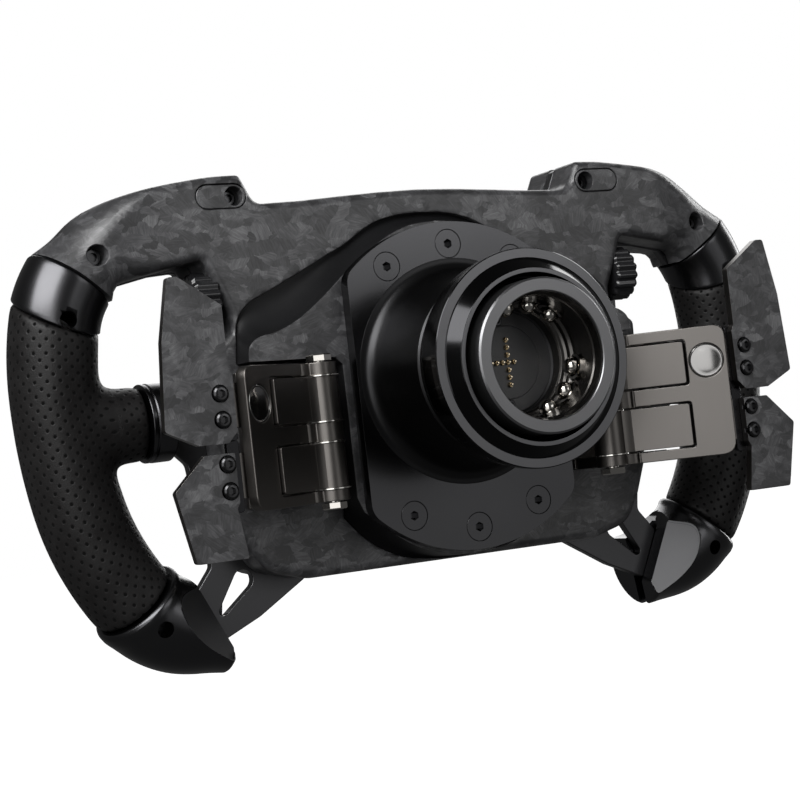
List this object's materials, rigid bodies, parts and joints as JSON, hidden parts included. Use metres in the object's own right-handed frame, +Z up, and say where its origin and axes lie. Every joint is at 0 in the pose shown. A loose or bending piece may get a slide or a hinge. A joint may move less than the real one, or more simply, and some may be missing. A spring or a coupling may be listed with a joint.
{
  "type": "racing wheel",
  "caption": "Formula-style sim-racing wheel with leather grips, hinged shift and clutch paddles, a front display and a ball-lock quick release.",
  "frame": {"origin": "centre of the quick release's mouth face, on the steering axis", "axes": "+X to the driver's right, +Y away from the driver towards the wheelbase, +Z up"},
  "size_m": [0.2998, 0.1205, 0.1669],
  "materials": {
    "forged_carbon": "satin forged carbon",
    "black_leather": "perforated",
    "gloss_black_anodised": "gloss black anodised",
    "gunmetal_anodised": "dark anodised",
    "titanium_anodised": "titanium grey anodised",
    "brushed_aluminium": "brushed",
    "polished_steel": "polished",
    "black_oxide_steel": "black oxide",
    "circuit_board": "solder mask",
    "black_plastic": "fine grain",
    "display_glass": "dark display",
    "button_cap": "satin"
  },
  "bodies": {
    "wheel": {"circuit_board": "circuit_board", "collar_spring": "polished_steel", "contact_block": "black_plastic", "display_bezel": "black_plastic", "display_glass": "display_glass", "flange_screw_1": "black_oxide_steel", "flange_screw_2": "black_oxide_steel", "flange_screw_3": "black_oxide_steel", "flange_screw_4": "black_oxide_steel", "flange_screw_5": "black_oxide_steel", "flange_screw_6": "black_oxide_steel", "frame_plate": "brushed_aluminium", "front_shell": "black_plastic", "grip_left": "black_leather", "grip_right": "black_leather", "hinge_bracket_left": "titanium_anodised", "hinge_bracket_right": "titanium_anodised", "hinge_pin_left": "polished_steel", "hinge_pin_right": "polished_steel", "horn_plug_left": "black_plastic", "horn_plug_right": "black_plastic", "hub_flange": "gloss_black_anodised", "locking_ball_ring": "polished_steel", "lower_cap_left": "gunmetal_anodised", "lower_cap_right": "gunmetal_anodised", "magnet_left": "polished_steel", "magnet_right": "polished_steel", "quick_release_body": "gloss_black_anodised", "rear_shell": "forged_carbon", "spoke_collar_left": "gunmetal_anodised", "spoke_collar_right": "gunmetal_anodised", "upper_collar_left": "gunmetal_anodised", "upper_collar_right": "gunmetal_anodised"},
    "shift_paddle_right": {"shift_lever_right": "titanium_anodised", "shift_blade_right": "forged_carbon"},
    "clutch_paddle_right": {"clutch_lever_right": "titanium_anodised", "clutch_blade_right": "forged_carbon"},
    "push_button_right_1": {"button_right_1": "button_cap"},
    "push_button_right_2": {"button_right_2": "button_cap"},
    "push_button_right_3": {"button_right_3": "button_cap"},
    "push_button_right_4": {"button_right_4": "button_cap"},
    "thumb_dial_right": {"thumb_encoder_right": "black_plastic"},
    "shift_paddle_left": {"shift_lever_left": "titanium_anodised", "shift_blade_left": "forged_carbon"},
    "clutch_paddle_left": {"clutch_lever_left": "titanium_anodised", "clutch_blade_left": "forged_carbon"},
    "push_button_left_1": {"button_left_1": "button_cap"},
    "push_button_left_2": {"button_left_2": "button_cap"},
    "push_button_left_3": {"button_left_3": "button_cap"},
    "push_button_left_4": {"button_left_4": "button_cap"},
    "thumb_dial_left": {"thumb_encoder_left": "black_plastic"},
    "front_dial_centre": {"dial_centre": "black_plastic"},
    "front_dial_right": {"dial_right": "black_plastic"},
    "front_dial_left": {"dial_left": "black_plastic"},
    "release_collar": {"quick_release_collar": "gloss_black_anodised"}
  },
  "joints": [
    {"name": "shift_hinge_right", "type": "hinge", "parent": "wheel", "child": "shift_paddle_right", "pos_m": [0.0552, -0.0553, 0], "axis": [0, 0, -1], "range_deg": [0, 5], "stiffness_Nm_per_rad": 4, "springref_deg": -2.86},
    {"name": "clutch_hinge_right", "type": "hinge", "parent": "wheel", "child": "clutch_paddle_right", "pos_m": [0.0552, -0.0553, 0], "axis": [0, 0, -1], "range_deg": [0, 18], "stiffness_Nm_per_rad": 1.5, "springref_deg": -8.59},
    {"name": "button_press_right_1", "type": "slide", "parent": "wheel", "child": "push_button_right_1", "axis": [0, 1, 0], "range_m": [0, 0.0015], "stiffness_N_per_m": 500, "springref_m": -0.0015},
    {"name": "button_press_right_2", "type": "slide", "parent": "wheel", "child": "push_button_right_2", "axis": [0, 1, 0], "range_m": [0, 0.0015], "stiffness_N_per_m": 500, "springref_m": -0.0015},
    {"name": "button_press_right_3", "type": "slide", "parent": "wheel", "child": "push_button_right_3", "axis": [0, 1, 0], "range_m": [0, 0.0015], "stiffness_N_per_m": 500, "springref_m": -0.0015},
    {"name": "button_press_right_4", "type": "slide", "parent": "wheel", "child": "push_button_right_4", "axis": [0, 1, 0], "range_m": [0, 0.0015], "stiffness_N_per_m": 500, "springref_m": -0.0015},
    {"name": "thumb_turn_right", "type": "hinge", "parent": "wheel", "child": "thumb_dial_right", "pos_m": [0.0792, -0.083, 0.032], "axis": [1, 0, 0], "continuous": true},
    {"name": "shift_hinge_left", "type": "hinge", "parent": "wheel", "child": "shift_paddle_left", "pos_m": [-0.0552, -0.0553, 0], "axis": [0, 0, 1], "range_deg": [0, 5], "stiffness_Nm_per_rad": 4, "springref_deg": -2.86},
    {"name": "clutch_hinge_left", "type": "hinge", "parent": "wheel", "child": "clutch_paddle_left", "pos_m": [-0.0552, -0.0553, 0], "axis": [0, 0, 1], "range_deg": [0, 18], "stiffness_Nm_per_rad": 1.5, "springref_deg": -8.59},
    {"name": "button_press_left_1", "type": "slide", "parent": "wheel", "child": "push_button_left_1", "axis": [0, 1, 0], "range_m": [0, 0.0015], "stiffness_N_per_m": 500, "springref_m": -0.0015},
    {"name": "button_press_left_2", "type": "slide", "parent": "wheel", "child": "push_button_left_2", "axis": [0, 1, 0], "range_m": [0, 0.0015], "stiffness_N_per_m": 500, "springref_m": -0.0015},
    {"name": "button_press_left_3", "type": "slide", "parent": "wheel", "child": "push_button_left_3", "axis": [0, 1, 0], "range_m": [0, 0.0015], "stiffness_N_per_m": 500, "springref_m": -0.0015},
    {"name": "button_press_left_4", "type": "slide", "parent": "wheel", "child": "push_button_left_4", "axis": [0, 1, 0], "range_m": [0, 0.0015], "stiffness_N_per_m": 500, "springref_m": -0.0015},
    {"name": "thumb_turn_left", "type": "hinge", "parent": "wheel", "child": "thumb_dial_left", "pos_m": [-0.0792, -0.083, 0.032], "axis": [-1, 0, 0], "continuous": true},
    {"name": "dial_turn_centre", "type": "hinge", "parent": "wheel", "child": "front_dial_centre", "pos_m": [0, -0.1104, -0.044], "axis": [0, -1, 0], "continuous": true},
    {"name": "dial_turn_right", "type": "hinge", "parent": "wheel", "child": "front_dial_right", "pos_m": [0.04, -0.1104, -0.042], "axis": [0, -1, 0], "continuous": true},
    {"name": "dial_turn_left", "type": "hinge", "parent": "wheel", "child": "front_dial_left", "pos_m": [-0.04, -0.1104, -0.042], "axis": [0, -1, 0], "continuous": true},
    {"name": "collar_release", "type": "slide", "parent": "wheel", "child": "release_collar", "axis": [0, -1, 0], "range_m": [0, 0.006], "stiffness_N_per_m": 1500, "springref_m": -0.004}
  ]
}
